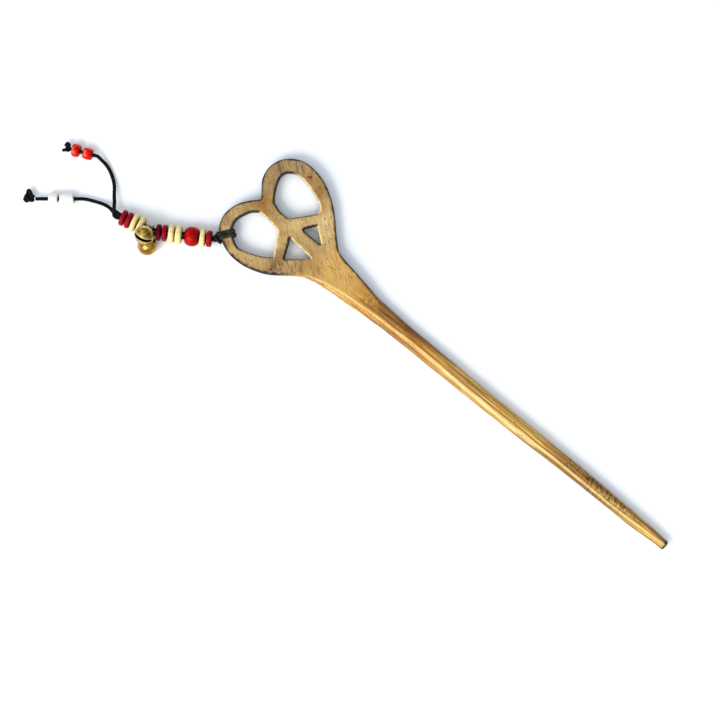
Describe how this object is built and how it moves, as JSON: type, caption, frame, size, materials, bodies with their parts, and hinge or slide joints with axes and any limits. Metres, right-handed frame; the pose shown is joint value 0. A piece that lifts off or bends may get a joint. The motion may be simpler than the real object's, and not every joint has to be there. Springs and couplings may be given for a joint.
{
  "type": "hair stick",
  "caption": "Flat carved hair stick with an openwork heart head holding a peace sign, a long tapering shaft, and a beaded cord dangle with two jingle bells hitched to one lobe.",
  "frame": {"origin": "under the centre of the stick's own bounding box, on its flat back face; the dangle lies outside it on the same surface", "axes": "+X along the stick from the heart head to the tip, +Y across the head towards the lobe without the cord, +Z out of the front face"},
  "size_m": [0.2231, 0.0641, 0.0113],
  "materials": {
    "carved_bone": "polished",
    "waxed_cord": "waxed",
    "cream_bone_bead": "satin",
    "red_bead": "semi-gloss",
    "dark_red_bead": "semi-gloss",
    "glossy_red_bead": "gloss",
    "red_glass_bead": "gloss",
    "white_glass_bead": "gloss",
    "bell_brass": "polished",
    "pellet_steel": "polished"
  },
  "bodies": {
    "stick": {"hair_stick": "carved_bone", "cord_hitch": "waxed_cord"},
    "hitch_knot": {"cord_bight": "waxed_cord"},
    "strand_inner": {"cord_inner": "waxed_cord"},
    "red_disc_1_spinner": {"red_disc_1": "red_bead"},
    "cream_disc_1_spinner": {"cream_disc_1": "cream_bone_bead"},
    "red_barrel_bead_spinner": {"red_barrel_bead": "glossy_red_bead"},
    "cream_disc_2_spinner": {"cream_disc_2": "cream_bone_bead"},
    "cream_disc_3_spinner": {"cream_disc_3": "cream_bone_bead"},
    "red_disc_2_spinner": {"red_disc_2": "red_bead"},
    "red_disc_3_spinner": {"red_disc_3": "dark_red_bead"},
    "strand_outer": {"cord_outer": "waxed_cord", "split_knot": "waxed_cord"},
    "cream_disc_4_spinner": {"cream_disc_4": "cream_bone_bead"},
    "cream_disc_5_spinner": {"cream_disc_5": "cream_bone_bead"},
    "red_disc_4_spinner": {"red_disc_4": "red_bead"},
    "red_disc_5_spinner": {"red_disc_5": "red_bead"},
    "bell_1": {"bell_1_shell": "bell_brass", "bell_1_loop": "bell_brass"},
    "bell_1_clapper": {"bell_1_pellet": "pellet_steel"},
    "bell_2": {"bell_2_shell": "bell_brass", "bell_2_loop": "bell_brass"},
    "bell_2_clapper": {"bell_2_pellet": "pellet_steel"},
    "tail_red": {"cord_tail_red": "waxed_cord", "end_knot_red": "waxed_cord"},
    "red_seed_1_slider": {"red_seed_bead_1": "red_glass_bead"},
    "red_seed_2_slider": {"red_seed_bead_2": "red_glass_bead"},
    "tail_white": {"cord_tail_white": "waxed_cord", "end_knot_white": "waxed_cord"},
    "white_tube_1_slider": {"white_tube_bead_1": "white_glass_bead"},
    "white_tube_2_slider": {"white_tube_bead_2": "white_glass_bead"}
  },
  "joints": [
    {"name": "dangle_lift", "type": "hinge", "parent": "stick", "child": "hitch_knot", "pos_m": [-0.0808, -0.0145, 0.0022], "axis": [-0.866, 0.5, 0], "range_deg": [0, 70], "deforming": ["cord_hitch", "cord_bight", "cord_inner"]},
    {"name": "strand_swing", "type": "hinge", "parent": "hitch_knot", "child": "strand_inner", "pos_m": [-0.08345, -0.01805, 0.0031], "axis": [0, 0, 1], "range_deg": [-20, 20], "deforming": ["cord_inner"]},
    {"name": "red_disc_1_spin", "type": "hinge", "parent": "strand_inner", "child": "red_disc_1_spinner", "pos_m": [-0.08447, -0.01869, 0.0031], "axis": [-0.848, -0.5299, 0], "continuous": true},
    {"name": "cream_disc_1_spin", "type": "hinge", "parent": "strand_inner", "child": "cream_disc_1_spinner", "pos_m": [-0.08625, -0.0198, 0.0031], "axis": [-0.848, -0.5299, 0], "continuous": true},
    {"name": "red_barrel_bead_spin", "type": "hinge", "parent": "strand_inner", "child": "red_barrel_bead_spinner", "pos_m": [-0.08909, -0.02157, 0.0031], "axis": [-0.848, -0.5299, 0], "continuous": true},
    {"name": "cream_disc_2_spin", "type": "hinge", "parent": "strand_inner", "child": "cream_disc_2_spinner", "pos_m": [-0.09261, -0.02377, 0.0031], "axis": [-0.848, -0.5299, 0], "continuous": true},
    {"name": "cream_disc_3_spin", "type": "hinge", "parent": "strand_inner", "child": "cream_disc_3_spinner", "pos_m": [-0.09452, -0.02497, 0.0031], "axis": [-0.848, -0.5299, 0], "continuous": true},
    {"name": "red_disc_2_spin", "type": "hinge", "parent": "strand_inner", "child": "red_disc_2_spinner", "pos_m": [-0.0963, -0.02608, 0.0031], "axis": [-0.848, -0.5299, 0], "continuous": true},
    {"name": "red_disc_3_spin", "type": "hinge", "parent": "strand_inner", "child": "red_disc_3_spinner", "pos_m": [-0.09791, -0.02709, 0.0031], "axis": [-0.848, -0.5299, 0], "continuous": true},
    {"name": "strand_bend", "type": "hinge", "parent": "strand_inner", "child": "strand_outer", "pos_m": [-0.09922, -0.02791, 0.0031], "axis": [0, 0, 1], "range_deg": [-15, 0], "deforming": ["cord_outer", "cord_inner"]},
    {"name": "cream_disc_4_spin", "type": "hinge", "parent": "strand_outer", "child": "cream_disc_4_spinner", "pos_m": [-0.10348, -0.02901, 0.0031], "axis": [-0.9681, -0.2504, 0], "continuous": true},
    {"name": "cream_disc_5_spin", "type": "hinge", "parent": "strand_outer", "child": "cream_disc_5_spinner", "pos_m": [-0.10561, -0.02956, 0.0031], "axis": [-0.9681, -0.2504, 0], "continuous": true},
    {"name": "red_disc_4_spin", "type": "hinge", "parent": "strand_outer", "child": "red_disc_4_spinner", "pos_m": [-0.10745, -0.03003, 0.0031], "axis": [-0.9681, -0.2504, 0], "continuous": true},
    {"name": "red_disc_5_spin", "type": "hinge", "parent": "strand_outer", "child": "red_disc_5_spinner", "pos_m": [-0.10929, -0.03051, 0.0031], "axis": [-0.9681, -0.2504, 0], "continuous": true},
    {"name": "bell_1_swing", "type": "hinge", "parent": "strand_outer", "child": "bell_1", "pos_m": [-0.1014, -0.02847, 0.0031], "axis": [-0.9681, -0.2504, 0], "range_deg": [0, 18]},
    {"name": "bell_1_clapper_roll", "type": "hinge", "parent": "bell_1", "child": "bell_1_clapper", "pos_m": [-0.10027, -0.03044, 0.00827], "axis": [-0.9681, -0.2504, 0], "range_deg": [-120, 120]},
    {"name": "bell_2_swing", "type": "hinge", "parent": "strand_outer", "child": "bell_2", "pos_m": [-0.0999, -0.02808, 0.0031], "axis": [-0.9681, -0.2504, 0], "range_deg": [0, 18]},
    {"name": "bell_2_clapper_roll", "type": "hinge", "parent": "bell_2", "child": "bell_2_clapper", "pos_m": [-0.09814, -0.03244, 0.003], "axis": [-0.9681, -0.2504, 0], "range_deg": [-120, 120]},
    {"name": "red_tail_swing", "type": "hinge", "parent": "strand_outer", "child": "tail_red", "pos_m": [-0.1123, -0.0312, 0.0025], "axis": [0, 0, 1], "range_deg": [-25, 30], "deforming": ["cord_tail_red"]},
    {"name": "red_seed_1_slide", "type": "slide", "parent": "tail_red", "child": "red_seed_1_slider", "axis": [-0.9135, -0.4067, 0], "range_m": [-0.00025, 0.0003]},
    {"name": "red_seed_2_slide", "type": "slide", "parent": "tail_red", "child": "red_seed_2_slider", "axis": [-0.9135, -0.4067, 0], "range_m": [-0.002, 0.0003]},
    {"name": "white_tail_swing", "type": "hinge", "parent": "strand_outer", "child": "tail_white", "pos_m": [-0.1123, -0.0312, 0.0025], "axis": [0, 0, 1], "range_deg": [-30, 25], "deforming": ["cord_tail_white"]},
    {"name": "white_tube_2_slide", "type": "slide", "parent": "tail_white", "child": "white_tube_2_slider", "axis": [-0.7771, -0.6293, 0], "range_m": [0, 0.0035]},
    {"name": "white_tube_1_slide", "type": "slide", "parent": "tail_white", "child": "white_tube_1_slider", "axis": [-0.7771, -0.6293, 0], "range_m": [0, 0.0035]}
  ],
  "couplings": [
    {"joint": "bell_2_swing", "follows": "bell_1_swing", "ratio": 1},
    {"joint": "white_tube_1_slide", "follows": "white_tube_2_slide", "ratio": 1}
  ]
}
